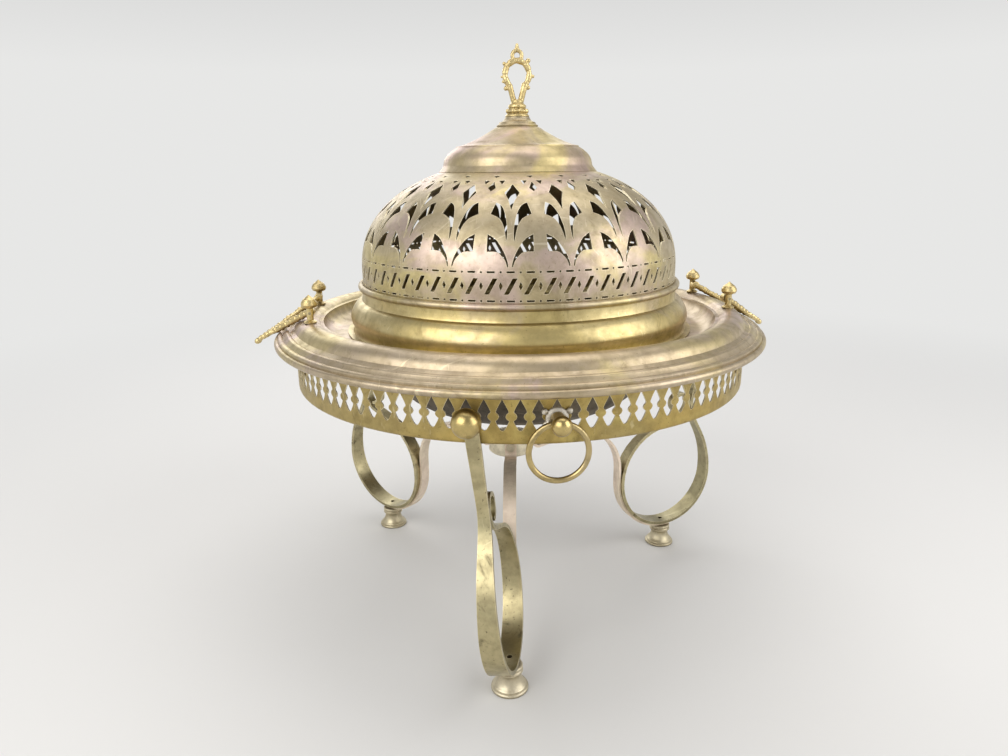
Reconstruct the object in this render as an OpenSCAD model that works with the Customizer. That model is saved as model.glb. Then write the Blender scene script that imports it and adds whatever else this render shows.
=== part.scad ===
// Charcoal brazier in brass. A pierced gallery stands on three scrolled strap legs, a wide-rimmed
// fire pan rests in the gallery, and a pierced dome lid stands in the well of the pan.
// +Z is up, the floor is z = 0 and the vertical axis of the pan is the Z axis. One drop ring hangs
// at the front (-Y), one at the back, and the two bail handles lie on the rim at +X and -X.
// Azimuths are degrees from the front (-Y) towards +X. Spun sheets are drawn as [radius, height].

/* [Pan] */
// Height of the flat well floor that the lid stands on
well_z = 291; // [279:1:304]
// Width of the well floor that shows outside the dome
well_margin = 24.5; // [23:0.5:30]
// Width of the rim, from the wall of the well to its outer edge
rim_w = 65.5; // [62:0.5:70]
// Radius of the concave wall of the well
well_wall_r = 17; // [14:0.5:19]
// Thickness of the spun brass sheet
sheet_t = 1.2; // [1:0.1:1.6]
// Radius of the broad roll along the rim
roll_r = 15; // [13:0.5:16]
// Height of the top of the broad roll above the well floor
roll_rise = 19.5; // [17:0.5:21]
// Radius of the bead that edges the rim
lip_bead_r = 3.4; // [2.8:0.1:4]
// Drop from the top of the broad roll to the centre of the lip bead
lip_drop = 23.1; // [21:0.1:25]

/* [Coal bowl] */
// How far the coal bowl's mouth lies inside the dome
bowl_inset = 11; // [10:0.5:20]
// Radius of the flat bottom of the coal bowl
bowl_floor_r = 75; // [50:1:95]
// Depth of the coal bowl below the well floor
bowl_depth = 83; // [60:1:90]
// Number of rivets that hold the bowl to the rim dish
bowl_rivets_n = 12; // [6:1:16]

/* [Gallery] */
// How far the rim reaches out over the gallery band
rim_overhang = 20; // [19:0.5:23]
// Height of the lower edge of the gallery above the floor
gallery_bottom_z = 241; // [234:1:244]
// Thickness of the gallery band
gallery_t = 1.2; // [1:0.1:1.6]
// Number of baluster openings around the gallery
gallery_openings_n = 102; // [96:6:108]
// Half width of a baluster opening at its widest
baluster_half_w = 5.4; // [4.4:0.1:5.8]
// Height of a baluster opening from tip to tip
baluster_h = 26; // [22:0.5:28]
// Height of the lower tip of the openings above the lower edge
baluster_lift = 12; // [10:0.5:14]
// Radius of the wire in the rolled upper edge
edge_wire_r = 1.8; // [1.4:0.1:2.2]

/* [Legs] */
// Width of a leg strap at its upper end
strap_top_w = 12; // [10:0.5:14]
// Width of a leg strap where it meets the foot
strap_foot_w = 19.5; // [16:0.5:22]
// Thickness of a leg strap
strap_t = 3.6; // [3:0.1:4.5]
// Radius of the leg's loop along the middle of the strap
loop_r = 60; // [52:0.5:64]
// Radius of the bend just under the gallery
top_bend_r = 60; // [45:1:75]
// Radius of the concave bend at the leg's neck
neck_bend_r = 50; // [40:1:60]
// Distance from the loop's centre out to the strap's upper end in a straight-set leg
loop_inset = 44; // [40:1:48]
// How far the neck is set in from the strap's upper end
neck_inset = 11.9; // [9:0.1:14]
// Height of the neck above the centre of the loop
neck_rise = 90; // [84:1:96]
// Radius of the long bend from the neck into the loop
shoulder_bend_r = 104; // [95:1:110]
// Radius of the upper inner bend of the loop
inner_bend_r = 65.5; // [62:0.5:70]
// Radius of the bend that turns the strap up towards the curl
turn_up_r = 20.6; // [17:0.1:24]
// Radius of the end curl
curl_r = 11; // [9:0.5:13]
// Angle that the end curl turns through
curl_turn = 265; // [200:5:280]
// Azimuth of the front leg's knob
front_knob_azimuth = -16.8; // [-22:0.1:-12]
// Azimuth of the right leg's knob
right_knob_azimuth = 102.5; // [96:0.5:110]
// Azimuth of the left leg's knob
left_knob_azimuth = -127.5; // [-140:0.5:-120]
// Azimuth of the front foot, seen from the hub
front_foot_azimuth = -7.6; // [-15:0.1:-5]
// Azimuth of the right foot, seen from the hub
right_foot_azimuth = 105.7; // [98:0.1:112]
// Azimuth of the left foot, seen from the hub
left_foot_azimuth = -136; // [-142:0.5:-128]
// How far the front leg's strap is turned about its foot, in degrees
front_leg_turn = -7; // [-9:0.5:0]
// How much less the front foot's distance from the hub is than the gallery's radius
front_foot_inset = 40.5; // [30:0.5:46]
// How much less the right foot's distance from the hub is than the gallery's radius
right_foot_inset = 31; // [24:0.5:40]
// How much less the left foot's distance from the hub is than the gallery's radius
left_foot_inset = 28; // [24:0.5:40]
// Height of a turned foot
foot_h = 25; // [22:1:30]
// Radius of the base of a foot
foot_r = 16.8; // [15:0.1:19]
// Radius of a leg's ball knob
knob_r = 11.9; // [10:0.1:13]
// Height of the ball knobs above the gallery's lower edge
knob_lift = 22.5; // [19:0.5:25]
// Radius of the screws in the stand
screw_r = 2.5; // [2:0.1:3]

/* [Hub and braces] */
// Radius of the turned hub under the pan
hub_r = 24; // [21:0.5:28]
// Height of the hub from bottom to top
hub_h = 18; // [15:0.5:22]
// Height of the hub's underside above the floor
hub_z = 154; // [146:1:158]
// Shift of the hub from the pan's axis, to the right
hub_x = -11; // [-14:1:4]
// Shift of the hub from the pan's axis, to the back
hub_y = -17; // [-20:1:4]
// Width of a brace strap
brace_w = 12.5; // [11:0.5:15]
// Thickness of a brace strap
brace_t = 3; // [2.5:0.1:3.5]
// How much less the radius of a brace's arch is than the front foot's distance from the hub
brace_arch_inset = 134.5; // [130:0.5:142]
// Height above the loop's centre where the brace leaves the loop
brace_leave = 19; // [14:1:24]

/* [Drop rings] */
// Radius of a drop ring along the middle of its wire
drop_ring_r = 23.6; // [20:0.1:27]
// Radius of the wire of a drop ring
drop_wire_r = 2.4; // [2:0.1:2.8]
// Height of the drop rings' posts above the gallery's lower edge
post_lift = 22.5; // [20:0.5:26]
// Radius of the ball on a drop ring's post
post_ball_r = 8.1; // [7:0.1:9]
// Radius of the stem between the ball and the rosette
post_stem_r = 6; // [5.5:0.1:6.5]
// How far the ring's eye lies below the middle of the stem
eye_drop = 1.5; // [0:0.1:1.6]
// Radius of the rosette behind a drop ring
rosette_r = 9; // [8:0.5:11]
// Thickness of the rosette
rosette_t = 3.6; // [3:0.1:4.5]

/* [Bail handles] */
// Distance between the two posts of a handle
handle_span = 102; // [96:1:112]
// Height of a handle's pivot above the broad roll
pivot_rise = 9.4; // [8.8:0.1:10]
// Reach of a handle from its pivot to its tip
handle_reach = 73; // [62:1:76]
// Azimuth of the left handle
left_handle_azimuth = -87.5; // [-92:0.5:-85]
// Azimuth of the right handle
right_handle_azimuth = 90; // [86:0.5:92]
// Slope of a handle at rest, in degrees below level
handle_droop = 31.2; // [29:0.1:32]
// Radius of an acorn knob on a handle post
acorn_r = 7.8; // [6.5:0.1:8.5]
// Radius of the neck of a handle post
post_neck_r = 3.2; // [2.8:0.1:3.6]
// Radius of a handle's pivot pin
pin_r = 1.5; // [1.2:0.1:1.8]
// Radius of a handle's round boss
boss_r = 4.1; // [3.6:0.1:4.2]
// Radius of a handle's arms
arm_r = 2.7; // [2.2:0.1:3]

/* [Lid] */
// Radius of the dome at its widest
dome_r = 160; // [150:1:162]
// Height of the widest part of the dome above the well floor
dome_lift = 63; // [58:1:68]
// Rise of the dome's curve above its widest part
dome_h = 103; // [98:1:110]
// Number of arched units around the dome
dome_units_n = 19; // [16:1:20]
// Number of slanted slots around the dome's band
band_slots_n = 60; // [48:1:60]
// Azimuth of the first arched unit, in degrees from the front
units_start = -0.3; // [-9:0.1:9]
// Azimuth of the first slanted slot, in degrees from the front
slots_start = 2.4; // [-3:0.1:3]
// Radius of the round bead under the dome
bead_r = 3.3; // [2.6:0.1:3.8]
// Radius of the cap's lower edge
cap_r = 78.5; // [76:0.5:84]
// Rise of the cap from its edge to the foot of the finial
cap_h = 42.3; // [38:0.1:46]
// Radius of the finial's stepped collar
collar_r = 20.5; // [17:0.5:24]
// Height of the finial's stepped collar
collar_h = 9.5; // [8:0.5:12]

/* [Finial] */
// Outer radius of the finial's loop
finial_loop_r = 14.7; // [12:0.1:17]
// Radius of the eye inside the finial's loop
finial_eye_r = 8.4; // [6.5:0.1:9]
// Thickness of the finial's loop
finial_t = 5.4; // [4.5:0.1:6.5]
// Height of the middle of the finial's loop above its collar
finial_loop_rise = 39.3; // [37:0.1:42]

/* [Clearances] */
// Gap between pieces that lift apart
rest_gap = 0.3; // [0.2:0.05:0.5]
// Running clearance of a pin or a ring in its hole
run_gap = 0.08; // [0.05:0.01:0.1]

/* [Hidden] */

$fn = 96;
FRONT = 0;
RIGHT = 1;
LEFT = 2;
SPIN_ARC_N = 6;
STRAP_ARC_N = 16;
CUT = 1;

// Polylines
function polar(c, r, a) = c + r * [cos(a), sin(a)];
function arc_pts(c, r, a0, a1, n) = [for (i = [0:n]) polar(c, r, a0 + (a1 - a0) * i / n)];
function turned(c, v, a) = c + [v.x * cos(a) - v.y * sin(a), v.x * sin(a) + v.y * cos(a)];
function no_repeats(p) = [for (i = [0:len(p) - 1]) if (i == 0 || norm(p[i] - p[max(i - 1, 0)]) > 0.01) p[i]];
function left_normal(p, i) =
    let (step = p[min(i + 1, len(p) - 1)] - p[max(i - 1, 0)])
    [-step.y, step.x] / norm(step);
// Outline of a strip along the path p, between offsets near and far to the left of it.
function strip(p, near, far) = concat(
    [for (i = [0:len(p) - 1]) p[i] + near * left_normal(p, i)],
    [for (i = [len(p) - 1:-1:0]) p[i] + far * left_normal(p, i)]
);
// Direction of the straight that leaves a bend about c1 and enters an opposite bend about c2.
// side is -1 where the first bend turns clockwise and 1 where it turns anticlockwise.
function cross_direction(c1, r1, c2, r2, side) =
    let (v = c2 - c1)
    atan2(v.y, v.x) + side * asin((r1 + r2) / norm(v));

// Radii that follow from the dome's, going outwards
bowl_r = dome_r - bowl_inset;
well_r = dome_r + well_margin;
pan_r = well_r + rim_w;
gallery_r = pan_r - rim_overhang;

// Rim of the pan
roll_c = [pan_r - 34.5, well_z + roll_rise - roll_r];
roll_top_z = well_z + roll_rise;
lip_c = [pan_r - lip_bead_r, roll_top_z - lip_drop];
step_r = 3.6;
outer_step_c = [lip_c.x - 3.4, lip_c.y + 3.6];
inner_step_c = [lip_c.x - 11.1, lip_c.y + 7.4];
bowl_mouth_r = bowl_r + 3;
rim_path = no_repeats(concat(
    [[bowl_mouth_r, well_z]],
    arc_pts([well_r, well_z + well_wall_r], well_wall_r, -90, -10, SPIN_ARC_N),
    arc_pts(roll_c, roll_r, 138, 18, 10),
    arc_pts(inner_step_c, step_r, 120, 25, 4),
    arc_pts(outer_step_c, step_r, 120, 35, 4),
    [lip_c + [-0.6, lip_bead_r - 0.3], lip_c + [0.6, 1.4]]
));
// Height of the rim's top surface over the gallery's edge wire, from the valley beside the roll
valley_z = (polar(roll_c, roll_r, 18).y + polar(inner_step_c, step_r, 120).y) / 2;

// Gallery
wire_z = valley_z - sheet_t - rest_gap - edge_wire_r + 0.6;
wire_c = [gallery_r - gallery_t / 2, wire_z];
gallery_top_z = wire_z;
gallery_edge_turn = 3.5;
opening_pitch = 360 / gallery_openings_n;
// Share of half width and share of height of one side of a baluster opening, from the lower tip
baluster_side = [
    [0.3, 0.03], [0.56, 0.12], [0.8, 0.21], [1, 0.31], [0.62, 0.37], [0.47, 0.44], [0.57, 0.51],
    [0.88, 0.57], [0.93, 0.61], [0.77, 0.69], [0.53, 0.79], [0.27, 0.89],
];

// Legs
knob_z = gallery_bottom_z + knob_lift;
strap_r = gallery_r + strap_t / 2;
strap_top_z = knob_z + strap_top_w / 2;
seat_z = foot_h + brace_t;
loop_z = seat_z + strap_t / 2 + loop_r;
curl_gap = 0.4;
hub_c = [hub_x, hub_y];
knob_azimuths = [front_knob_azimuth, right_knob_azimuth, left_knob_azimuth];
foot_azimuths = [front_foot_azimuth, right_foot_azimuth, left_foot_azimuth];
foot_reaches = [gallery_r - front_foot_inset, gallery_r - right_foot_inset, gallery_r - left_foot_inset];
leg_turns = [front_leg_turn, 0, 0];
// Where a leg's knob stands in the leg's own plane, and how far beside it, counted from its foot
knob_spots = [for (i = [0:2])
    let (
        foot_c = polar(hub_c, foot_reaches[i], foot_azimuths[i] - 90),
        k = polar([0, 0], strap_r, knob_azimuths[i] - 90) - foot_c,
        out = polar([0, 0], 1, foot_azimuths[i] + leg_turns[i] - 90)
    )
    [k * out, k * [-out.y, out.x]]];
leg_leans = [for (i = [0:2]) atan(-knob_spots[i].y / (knob_z - foot_h))];
// How far a leg is splayed from the straight-set shape, in degrees
leg_splays = [for (i = [0:2])
    atan2(knob_z - loop_z, knob_spots[i].x) - atan2(knob_z - loop_z, loop_inset)];

function leg_path(i) =
    let (
        loop_c = [0, loop_z],
        s = leg_splays[i],
        neck_x = loop_inset - neck_inset,
        curl_x = neck_x - strap_t - curl_gap,
        top_c = [knob_spots[i].x - top_bend_r, gallery_bottom_z + 4],
        neck_c = turned(loop_c, [neck_x + neck_bend_r, neck_rise], s),
        shoulder_c = turned(loop_c, [loop_r - shoulder_bend_r, 0], s),
        inner_c = turned(loop_c, [inner_bend_r - loop_r, 0], s),
        turn_c = turned(loop_c, [curl_x - turn_up_r, neck_rise], s),
        curl_c = turned(loop_c, [curl_x - curl_r, neck_rise], s),
        upper_dir = cross_direction(top_c, top_bend_r, neck_c, neck_bend_r, -1),
        lower_dir = cross_direction(neck_c, neck_bend_r, shoulder_c, shoulder_bend_r, 1),
        inner_dir = cross_direction(inner_c, inner_bend_r, turn_c, turn_up_r, -1)
    )
    no_repeats(concat(
        [[knob_spots[i].x, strap_top_z + 6]],
        arc_pts(top_c, top_bend_r, 0, upper_dir + 90, 4),
        arc_pts(neck_c, neck_bend_r, upper_dir - 90, lower_dir - 90, 6),
        arc_pts(shoulder_c, shoulder_bend_r, lower_dir + 90, s, 6),
        arc_pts(loop_c, loop_r, s, s - 180, 2 * STRAP_ARC_N),
        arc_pts(inner_c, inner_bend_r, s - 180, inner_dir - 270, 8),
        arc_pts(turn_c, turn_up_r, inner_dir - 90, s, 8),
        arc_pts(curl_c, curl_r, s, s + curl_turn, STRAP_ARC_N)
    ));

// Hub and braces
hug_r = loop_r + (strap_t + brace_t) / 2;
brace_arch_r = foot_reaches[FRONT] - brace_arch_inset;
tab_bend_r = 5;
tab_z = hub_z + 6;
brace_tail = 9;
hub_screw_z = hub_z + hub_h - 5.5;

function brace_path(foot) =
    let (
        tab_c = [hub_r + brace_t / 2 + tab_bend_r, tab_z],
        arch_c = [foot - hug_r - brace_arch_r, loop_z + brace_leave],
        run_dir = cross_direction(tab_c, tab_bend_r, arch_c, brace_arch_r, 1)
    )
    no_repeats(concat(
        [[hub_r + brace_t / 2, hub_z + hub_h - 1]],
        arc_pts(tab_c, tab_bend_r, -180, run_dir - 90, 6),
        arc_pts(arch_c, brace_arch_r, run_dir + 90, 0, 12),
        arc_pts([foot, loop_z], hug_r, -180, -90, STRAP_ARC_N),
        [[foot + brace_tail, foot_h + brace_t / 2]]
    ));

// Drop rings
post_z = gallery_bottom_z + post_lift;
ring_eye_r = gallery_r + rosette_t + drop_wire_r + 3.2;
post_ball_c = ring_eye_r + drop_wire_r + post_ball_r + 0.6;
eye_z = post_z - eye_drop;
eye_hole_r = drop_wire_r + post_stem_r * post_stem_r / (2 * drop_ring_r) + run_gap;

// Bail handles
post_y = handle_span / 2;
post_x = sqrt(roll_c.x * roll_c.x - post_y * post_y);
handle_azimuths = [left_handle_azimuth, right_handle_azimuth];
pivot_z = roll_top_z + pivot_rise;
acorn_seat = pivot_rise + boss_r + rest_gap + 0.1;
boss_w = 9;
boss_y = post_y - post_neck_r - rest_gap;
arm_y = boss_y - boss_w + arm_r + 0.4;
palm_w = 17;
palm_l = 24;
palm_t = 5;

// Lid
lid_z = well_z + rest_gap;
dome_mid_z = well_z + dome_lift;
dome_n = 2.18;
function dome_radius(z) =
    z <= dome_mid_z ? dome_r : dome_r * pow(1 - pow((z - dome_mid_z) / dome_h, dome_n), 1 / dome_n);
function dome_height(r) = dome_mid_z + dome_h * pow(1 - pow(r / dome_r, dome_n), 1 / dome_n);
neck_top_z = dome_mid_z - 18;
lid_neck_r = dome_r + sheet_t + 0.05;
cap_z = dome_height(cap_r);
cap_top_z = cap_z + cap_h;
collar_top_z = cap_top_z + collar_h;
finial_stud_r = 2.5;
dome_path = concat(
    [[dome_r, neck_top_z - 7]],
    [for (a = [0:7:63]) let (z = dome_mid_z + dome_h * sin(a)) [dome_radius(z), z]],
    [[cap_r - 3, dome_height(cap_r - 3)]]
);
unit_pitch = 360 / dome_units_n;

// Turn a shape drawn along +X to an azimuth.
module at_azimuth(a) {
    rotate([0, 0, a - 90]) children();
}

// Raise a shape drawn in the X-Y plane, so that its Y axis becomes Z.
module upright() {
    rotate([90, 0, 0]) children();
}

// Radial peg through [radius, height] along +X, from r0 to r1.
module radial_peg(r0, r1, z, r) {
    translate([r0, 0, z]) rotate([0, 90, 0]) cylinder(h = r1 - r0, r = r, $fn = 48);
}

module spin(points) {
    rotate_extrude($fn = 180) polygon(points);
}

// ---- Gallery ----

module baluster_opening() {
    side = [for (p = baluster_side) [p.x * baluster_half_w, p.y * baluster_h]];
    other = [for (i = [len(side) - 1:-1:0]) [-side[i].x, side[i].y]];
    translate([gallery_r - 12, 0, gallery_bottom_z + baluster_lift])
        rotate([90, 0, 90])
            linear_extrude(20) polygon(concat([[0, 0]], side, [[0, baluster_h]], other));
}

module gallery_band() {
    turn_c = [gallery_r - gallery_edge_turn, gallery_bottom_z + gallery_edge_turn];
    band_path = concat(
        [[gallery_r - gallery_edge_turn, gallery_bottom_z]],
        arc_pts(turn_c, gallery_edge_turn, -60, 0, 4),
        [[gallery_r, gallery_top_z]]
    );
    color("goldenrod") difference() {
        spin(strip(band_path, 0, gallery_t));
        for (i = [0:gallery_openings_n - 1]) at_azimuth(i * opening_pitch) baluster_opening();
        for (a = knob_azimuths) at_azimuth(a) radial_peg(gallery_r - 8, gallery_r + 8, knob_z, screw_r);
        for (a = [0, 180]) at_azimuth(a) radial_peg(gallery_r - 8, gallery_r + 8, post_z, screw_r);
        rotate_extrude($fn = 180) translate(wire_c) circle(r = edge_wire_r, $fn = 32);
    }
}

module gallery_edge_wire() {
    color("darkgoldenrod") rotate_extrude($fn = 180) translate(wire_c) circle(r = edge_wire_r, $fn = 32);
}

// ---- Legs, braces and feet ----

// Half of a strap seen from the front, as [half width, height]: narrow at the neck, wide at the foot.
strap_side = [
    [strap_foot_w / 2, seat_z - 30], [strap_foot_w / 2, seat_z + 10], [0.45 * strap_foot_w, loop_z],
    [0.36 * strap_foot_w, loop_z + 0.55 * neck_rise], [0.42 * strap_top_w, loop_z + neck_rise],
    [0.42 * strap_top_w, loop_z + neck_rise + 15], [strap_top_w / 2, gallery_bottom_z],
];

module strap_front() {
    polygon(concat(
        strap_side,
        arc_pts([0, strap_top_z - strap_top_w / 2], strap_top_w / 2, 0, 180, 12),
        [for (i = [len(strap_side) - 1:-1:0]) [-strap_side[i].x, strap_side[i].y]]
    ));
}

// Place a shape that is drawn outwards from the hub along +X, in the plane of a foot.
module from_hub(i) {
    translate([hub_x, hub_y, 0]) at_azimuth(foot_azimuths[i]) children();
}

module leg_strap(i) {
    from_hub(i) translate([foot_reaches[i], 0, foot_h]) rotate([0, 0, leg_turns[i]])
        rotate([leg_leans[i], 0, 0]) translate([0, 0, -foot_h])
            intersection() {
                upright() linear_extrude(2 * strap_foot_w, center = true)
                    polygon(strip(leg_path(i), -strap_t / 2, strap_t / 2));
                rotate([90, 0, 90]) linear_extrude(4 * loop_r, center = true) strap_front();
            }
}

// Stud of a foot, riveted over flush with the strap, or the hole for it.
module foot_stud(i, extra) {
    from_hub(i) translate([foot_reaches[i], 0, foot_h - 1])
        cylinder(h = brace_t + strap_t + 1.1 + extra, r = screw_r, $fn = 48);
}

module leg(i) {
    color("darkkhaki") difference() {
        leg_strap(i);
        translate([0, 0, gallery_bottom_z - 1]) cylinder(h = knob_z, r = gallery_r, $fn = 360);
        at_azimuth(knob_azimuths[i]) radial_peg(gallery_r - 8, gallery_r + 2 * knob_r, knob_z, screw_r);
        foot_stud(i, strap_t);
    }
}

module brace(i) {
    color("rosybrown") difference() {
        from_hub(i) upright() linear_extrude(brace_w, center = true)
            polygon(strip(brace_path(foot_reaches[i]), -brace_t / 2, brace_t / 2));
        leg_strap(i);
        foot_stud(i, strap_t);
        from_hub(i) radial_peg(hub_r - 1, hub_r + 2 * brace_t, hub_screw_z, screw_r);
    }
}

module foot(i) {
    waist_r = foot_r * 0.59;
    collar = foot_r * 0.7;
    side = [
        [foot_r - 1, 0], [foot_r, 1], [foot_r, foot_h * 0.1], [foot_r * 0.88, foot_h * 0.18],
        [foot_r * 0.71, foot_h * 0.31], [foot_r * 0.62, foot_h * 0.45], [waist_r, foot_h * 0.58],
        [foot_r * 0.61, foot_h * 0.67], [collar, foot_h * 0.71], [collar + 0.4, foot_h * 0.755],
        [collar - 0.5, foot_h * 0.8], [collar - 1.2, foot_h * 0.825], [collar - 0.3, foot_h * 0.85],
        [collar, foot_h * 0.9], [collar, foot_h],
    ];
    color("tan") union() {
        from_hub(i) translate([foot_reaches[i], 0, 0])
            rotate_extrude($fn = 64) polygon(concat([[0, 0]], side, [[0, foot_h]]));
        foot_stud(i, 0);
    }
}

module leg_knob(i) {
    ball_c = gallery_r + strap_t + knob_r - 0.5;
    color("darkgoldenrod") at_azimuth(knob_azimuths[i]) difference() {
        union() {
            translate([ball_c, 0, knob_z]) sphere(r = knob_r, $fn = 64);
            radial_peg(gallery_r - 8, ball_c, knob_z, screw_r);
        }
        translate([gallery_r - 2 * knob_r + strap_t - 0.5, -knob_r, knob_z - knob_r])
            difference() {
                cube([2 * knob_r + 0.5, 2 * knob_r, 2 * knob_r]);
                translate([-CUT, knob_r, knob_r]) rotate([0, 90, 0])
                    cylinder(h = 3 * knob_r, r = screw_r, $fn = 48);
            }
    }
}

module leg_knob_nuts() {
    color("darkgoldenrod") for (i = [0:2]) at_azimuth(knob_azimuths[i]) difference() {
        radial_nut(knob_z);
        radial_peg(gallery_r - 12, gallery_r + CUT, knob_z, screw_r);
    }
}

// Hexagonal nut inside the gallery, with a flat side against the band.
module radial_nut(z) {
    back = sqrt(pow(gallery_r - gallery_t, 2) - pow(2 * screw_r, 2));
    translate([back - 4.2, 0, z]) rotate([0, 90, 0]) cylinder(h = 4, r = 2 * screw_r, $fn = 6);
}

// ---- Hub ----

module hub() {
    color("khaki") difference() {
        translate([hub_x, hub_y, 0]) spin([
            [0, hub_z], [hub_r - 2, hub_z], [hub_r, hub_z + 2], [hub_r, hub_z + hub_h - 1],
            [hub_r - 1, hub_z + hub_h], [0, hub_z + hub_h],
        ]);
        for (i = [0:2]) from_hub(i) radial_peg(hub_r - 10, hub_r + CUT, hub_screw_z, screw_r);
    }
}

module hub_screws() {
    color("darkgoldenrod") for (i = [0:2]) from_hub(i) {
        radial_peg(hub_r - 10, hub_r + brace_t, hub_screw_z, screw_r);
        radial_peg(hub_r + brace_t, hub_r + brace_t + 2, hub_screw_z, 1.8 * screw_r);
    }
}

// ---- Drop rings ----

module rosette() {
    lug_r = 2.6;
    lug_reach = 1.25 * rosette_r;
    color("antiquewhite") difference() {
        union() {
            radial_peg(gallery_r - CUT, gallery_r + rosette_t, post_z, rosette_r);
            for (a = [30, 150, 208, 332])
                translate([gallery_r + rosette_t - lug_r, lug_reach * cos(a), post_z + lug_reach * sin(a)])
                    sphere(r = lug_r, $fn = 32);
        }
        cylinder(h = 2 * post_z, r = gallery_r, $fn = 360);
        radial_peg(gallery_r - 2 * CUT, gallery_r + rosette_t + 2 * CUT, post_z, screw_r);
    }
}

module ring_post() {
    color("darkgoldenrod") difference() {
        union() {
            radial_peg(gallery_r - 8, gallery_r + rosette_t, post_z, screw_r);
            radial_peg(gallery_r + rosette_t, post_ball_c, post_z, post_stem_r);
            translate([post_ball_c, 0, post_z]) sphere(r = post_ball_r, $fn = 64);
        }
        translate([ring_eye_r, 0, eye_z]) upright()
            cylinder(h = 4 * post_stem_r, r = eye_hole_r, center = true, $fn = 48);
    }
}

module ring_post_nuts() {
    color("darkgoldenrod") for (a = [0, 180]) at_azimuth(a) difference() {
        radial_nut(post_z);
        radial_peg(gallery_r - 12, gallery_r + CUT, post_z, screw_r);
    }
}

module drop_ring() {
    color("peru") translate([ring_eye_r, 0, eye_z - drop_ring_r]) rotate([0, 90, 0])
        rotate_extrude($fn = 96) translate([drop_ring_r, 0]) circle(r = drop_wire_r, $fn = 32);
}

// ---- Pan ----

module rim_dish() {
    rivet_r = 1.5;
    color("tan") difference() {
        union() {
            spin(strip(rim_path, 0, -sheet_t));
            rotate_extrude($fn = 180) translate(lip_c) circle(r = lip_bead_r, $fn = 32);
        }
        for (i = [0:bowl_rivets_n - 1]) at_azimuth(i * 360 / bowl_rivets_n)
            translate([bowl_mouth_r + 8, 0, well_z - 5]) cylinder(h = 10, r = rivet_r, $fn = 32);
        for (a = handle_azimuths, y = [-post_y, post_y]) at_azimuth(a)
            translate([post_x, y, roll_top_z - 10]) cylinder(h = 20, r = screw_r, $fn = 32);
    }
}

bowl_path = concat(
    [[bowl_mouth_r + 14, well_z - sheet_t], [bowl_mouth_r + 2, well_z - sheet_t]],
    arc_pts([bowl_mouth_r + 2, well_z - sheet_t - 5], 5, 90, 180, 4),
    [for (a = [10:10:90])
        [bowl_floor_r + (bowl_r - bowl_floor_r) * cos(a), well_z - 7 - (bowl_depth - 7) * sin(a)]],
    [[0, well_z - bowl_depth]]
);

module coal_bowl() {
    rivet_r = 1.5;
    color("sienna") difference() {
        spin(concat(
            [for (i = [0:len(bowl_path) - 2]) bowl_path[i]],
            [[0, well_z - bowl_depth], [0, well_z - bowl_depth - sheet_t]],
            [for (i = [len(bowl_path) - 2:-1:0]) bowl_path[i] + sheet_t * left_normal(bowl_path, i)]
        ));
        for (i = [0:bowl_rivets_n - 1]) at_azimuth(i * 360 / bowl_rivets_n)
            translate([bowl_mouth_r + 8, 0, well_z - 5]) cylinder(h = 10, r = rivet_r, $fn = 32);
    }
}

module bowl_rivets() {
    rivet_r = 1.5;
    color("darkgoldenrod") for (i = [0:bowl_rivets_n - 1]) at_azimuth(i * 360 / bowl_rivets_n)
        translate([bowl_mouth_r + 8, 0, well_z]) rotate_extrude($fn = 32) polygon([
            [0, -2 * sheet_t - 1.2], [2.8, -2 * sheet_t - 1.2], [2.8, -2 * sheet_t],
            [rivet_r, -2 * sheet_t], [rivet_r, 0], [3.2, 0], [2.9, 0.8], [2, 1.4], [0, 1.6],
        ]);
}

// ---- Bail handles ----

// A post on the broad roll. side is -1 or 1 along the tangent, towards a growing azimuth.
module handle_post(azimuth, side) {
    color("gold") at_azimuth(azimuth) translate([post_x, side * post_y, roll_top_z]) difference() {
        rotate_extrude($fn = 48) polygon([
            [0, -sheet_t - 6], [screw_r, -sheet_t - 6], [screw_r, 0.1], [6, 0.1], [6.2, 1.2], [4.6, 2.2],
            [post_neck_r, 3], [post_neck_r, acorn_seat], [acorn_r - 1.2, acorn_seat + 1.4],
            [acorn_r, acorn_seat + 3.6], [acorn_r - 0.5, acorn_seat + 6], [acorn_r - 2.2, acorn_seat + 8.6],
            [2.4, acorn_seat + 11], [0, acorn_seat + 13],
        ]);
        translate([0, 0, pivot_rise]) rotate([90, 0, 0])
            cylinder(h = 4 * post_neck_r, r = pin_r, center = true, $fn = 32);
    }
}

module handle_post_nuts() {
    color("darkgoldenrod") for (a = handle_azimuths, y = [-post_y, post_y])
        at_azimuth(a) translate([post_x, y, roll_top_z - sheet_t - 4.8]) difference() {
            cylinder(h = 4, r = 2 * screw_r, $fn = 6);
            translate([0, 0, -CUT]) cylinder(h = 8, r = screw_r, $fn = 32);
        }
}

module handle_pins(azimuth) {
    color("darkgoldenrod") at_azimuth(azimuth) for (s = [-1, 1])
        translate([post_x, s * (post_y + post_neck_r), pivot_z]) rotate([s * 90, 0, 0])
            cylinder(h = 2 * post_neck_r + rest_gap + boss_w - 1, r = pin_r, $fn = 32);
}

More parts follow.
